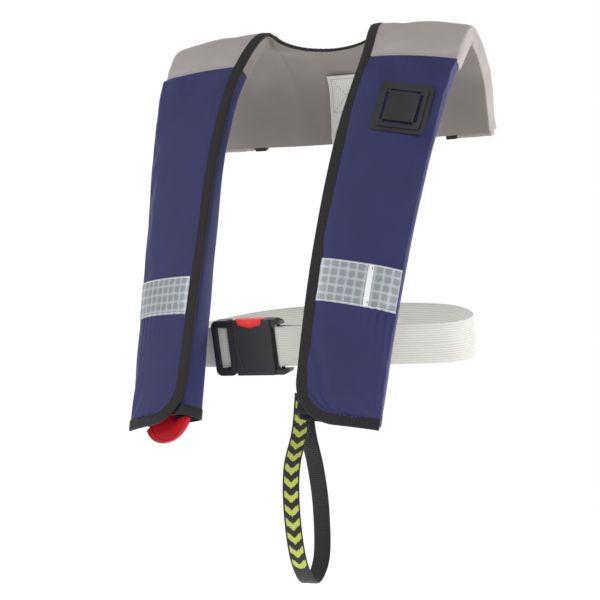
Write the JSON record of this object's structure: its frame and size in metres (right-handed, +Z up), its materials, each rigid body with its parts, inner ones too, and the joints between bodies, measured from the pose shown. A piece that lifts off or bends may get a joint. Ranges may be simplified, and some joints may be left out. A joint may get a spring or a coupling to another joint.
{
  "type": "inflatable life jacket",
  "caption": "Slim inflatable life jacket: padded shoulder yoke, two hinged-cover lobes with folded bladder and gas inflator, waist belt with push-button buckle, grab handle and pull tab.",
  "frame": {"origin": "midway between the tops of the wearer's shoulders, where the yoke's neck edges cross them", "axes": "+Z up, +Y towards the wearer's back, +X to the wearer's left"},
  "size_m": [0.3852, 0.3141, 0.6301],
  "materials": {
    "navy_laminate": "navy coated woven polyester, slight sheen",
    "yoke_cloth": "grey laminated polyester over thin foam",
    "lining_cloth": "warm grey lining cloth",
    "binding_tape": "black grosgrain binding",
    "belt_webbing": "light grey ribbed polyester webbing",
    "handle_webbing": "black webbing with a woven yellow-green block pattern",
    "hook_and_loop": "black hook-and-loop tape",
    "reflective_tape": "silver retroreflective tape with a cell pattern",
    "bladder_cloth": "orange urethane-coated nylon",
    "black_plastic": "moulded acetal, fine texture",
    "red_plastic": "red moulded plastic",
    "steel": "plated steel",
    "seal_rubber": "black rubber",
    "cartridge_plastic": "yellow moulded plastic",
    "indicator_plastic": "green moulded plastic",
    "valve_plastic": "natural acetal",
    "whistle_plastic": "orange moulded plastic",
    "red_cord": "braided polyester cord",
    "black_cord": "braided polyester cord"
  },
  "bodies": {
    "vest": {"cover_tray_left": "navy_laminate", "cover_tray_right": "navy_laminate", "tray_hem_binding_left": "binding_tape", "tray_hem_binding_right": "binding_tape", "closure_loop_left": "hook_and_loop", "closure_loop_right": "hook_and_loop", "yoke_cover": "yoke_cloth", "yoke_lining": "lining_cloth", "neck_binding": "binding_tape", "rear_pad_left": "yoke_cloth", "rear_pad_right": "yoke_cloth", "rear_pad_end_left": "binding_tape", "rear_pad_end_right": "binding_tape", "bladder": "bladder_cloth", "waist_belt": "belt_webbing", "belt_loop_left": "binding_tape", "belt_loop_right": "binding_tape", "back_strap": "belt_webbing", "buckle_body": "black_plastic", "buckle_back_cover": "black_plastic", "latch_spring": "steel", "inflator_body": "black_plastic", "water_cartridge": "cartridge_plastic", "status_indicator": "indicator_plastic", "bladder_manifold": "black_plastic", "manifold_gasket": "seal_rubber", "manifold_nut": "steel", "lever_pin": "steel", "oral_tube": "seal_rubber", "oral_valve_spring": "steel"},
    "flap_left": {"front_flap_left": "navy_laminate", "flap_binding_left": "binding_tape", "closure_hook_left": "hook_and_loop", "reflective_tape_left": "reflective_tape", "tape_joint_bar": "reflective_tape", "accessory_patch": "black_plastic"},
    "flap_right": {"front_flap_right": "navy_laminate", "flap_binding_right": "binding_tape", "closure_hook_right": "hook_and_loop", "reflective_tape_right": "reflective_tape"},
    "button": {"release_button": "red_plastic", "buckle_latch": "steel"},
    "tongue": {"buckle_tongue_frame": "black_plastic", "slide_bar": "black_plastic", "adjusting_strap": "belt_webbing"},
    "handle": {"grab_handle": "handle_webbing"},
    "pull": {"pull_handle": "red_plastic", "pull_cord": "red_cord"},
    "lever": {"trigger_lever": "red_plastic"},
    "pin": {"piercing_pin": "steel"},
    "cylinder": {"gas_cylinder": "steel"},
    "sensor": {"sensor_cap": "black_plastic"},
    "mouth_cap": {"oral_cap": "seal_rubber"},
    "valve": {"oral_valve_poppet": "valve_plastic"},
    "whistle": {"whistle": "whistle_plastic", "whistle_cord": "black_cord"}
  },
  "joints": [
    {"name": "flap_hinge_left", "type": "hinge", "parent": "vest", "child": "flap_left", "pos_m": [0.156, -0.165, -0.465], "axis": [0.0788, 0.2922, 0.9531], "range_deg": [0, 100]},
    {"name": "flap_hinge_right", "type": "hinge", "parent": "vest", "child": "flap_right", "pos_m": [-0.156, -0.165, -0.465], "axis": [0.0788, -0.2922, -0.9531], "range_deg": [0, 100]},
    {"name": "button_press", "type": "slide", "parent": "vest", "child": "button", "axis": [0, 0.2571, -0.9664], "range_m": [0, 0.0045], "stiffness_N_per_m": 300, "deforming": ["latch_spring"]},
    {"name": "tongue_slide", "type": "slide", "parent": "vest", "child": "tongue", "axis": [-1, 0, 0], "range_m": [0, 0.018]},
    {"name": "handle_swing", "type": "hinge", "parent": "vest", "child": "handle", "pos_m": [0.057, -0.1484, -0.424], "axis": [1, 0, 0], "range_deg": [0, 25]},
    {"name": "pull_slide", "type": "slide", "parent": "vest", "child": "pull", "axis": [0.0259, -0.2356, -0.9715], "range_m": [0, 0.024]},
    {"name": "lever_turn", "type": "hinge", "parent": "vest", "child": "lever", "pos_m": [-0.1153, -0.15299, -0.37748], "axis": [0.3569, 0.9103, -0.2096], "range_deg": [0, 75]},
    {"name": "pin_slide", "type": "slide", "parent": "vest", "child": "pin", "axis": [-0.0247, 0.2335, 0.9721], "range_m": [0, 0.0035]},
    {"name": "cylinder_turn", "type": "hinge", "parent": "vest", "child": "cylinder", "pos_m": [-0.11931, -0.14053, -0.33017], "axis": [-0.0247, 0.2335, 0.9721], "range_deg": [0, 1440]},
    {"name": "sensor_cap_turn", "type": "hinge", "parent": "vest", "child": "sensor", "pos_m": [-0.13875, -0.13904, -0.37114], "axis": [0.9338, -0.3418, 0.1058], "range_deg": [0, 90]},
    {"name": "oral_cap_slide", "type": "slide", "parent": "vest", "child": "mouth_cap", "axis": [0.0248, 0.2337, 0.972], "range_m": [0, 0.016]},
    {"name": "oral_valve_press", "type": "slide", "parent": "vest", "child": "valve", "axis": [-0.0248, -0.2337, -0.972], "range_m": [0, 0.003], "stiffness_N_per_m": 200, "deforming": ["oral_valve_spring"]},
    {"name": "whistle_swing", "type": "hinge", "parent": "vest", "child": "whistle", "pos_m": [0.13263, -0.14159, -0.36315], "axis": [-0.3567, 0.9104, -0.2097], "range_deg": [-4, 12]}
  ],
  "couplings": [
    {"joint": "lever_turn", "follows": "pull_slide", "rad_per_m": 54.5},
    {"joint": "pin_slide", "follows": "pull_slide", "ratio": 0.1458}
  ]
}
